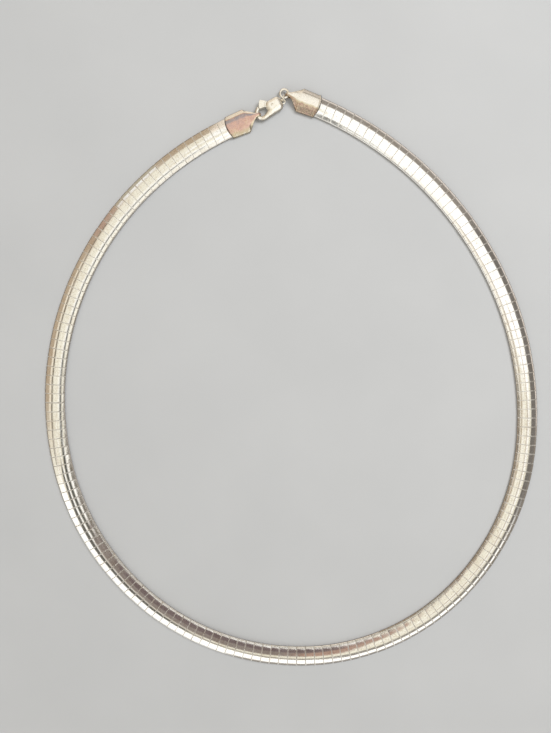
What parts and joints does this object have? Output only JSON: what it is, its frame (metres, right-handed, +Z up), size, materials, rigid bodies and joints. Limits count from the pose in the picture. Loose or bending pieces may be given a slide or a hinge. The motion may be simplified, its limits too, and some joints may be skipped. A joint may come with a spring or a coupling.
{
  "type": "omega necklace",
  "caption": "Flat flexible omega necklace: domed silver plates on a woven core, tapered end caps, lobster clasp with sprung lever.",
  "frame": {"origin": "on the surface that the necklace lies on, under the middle of its bounding box", "axes": "+Z up out of the surface, +Y from the front of the neck to the clasp at the back, +X to the right seen from above"},
  "size_m": [0.1406, 0.1646, 0.0021],
  "materials": {
    "plates": "polished silver",
    "core": "woven silver wire",
    "caps": "polished silver",
    "findings": "satin cast silver"
  },
  "bodies": {
    "necklace": {"mesh_core": "core", "plates_left": "plates", "plates_right": "plates", "end_cap_left": "caps", "end_cap_right": "caps", "jump_ring": "findings", "clasp_ring": "findings", "clasp_body": "findings", "clasp_pin": "findings"},
    "lever": {"clasp_lever": "findings"}
  },
  "joints": [
    {"name": "lever_hinge", "type": "hinge", "parent": "necklace", "child": "lever", "pos_m": [-0.00554, 0.07753, 0.001], "axis": [0, 0, 1], "range_deg": [0, 18], "stiffness_Nm_per_rad": 0.001}
  ]
}
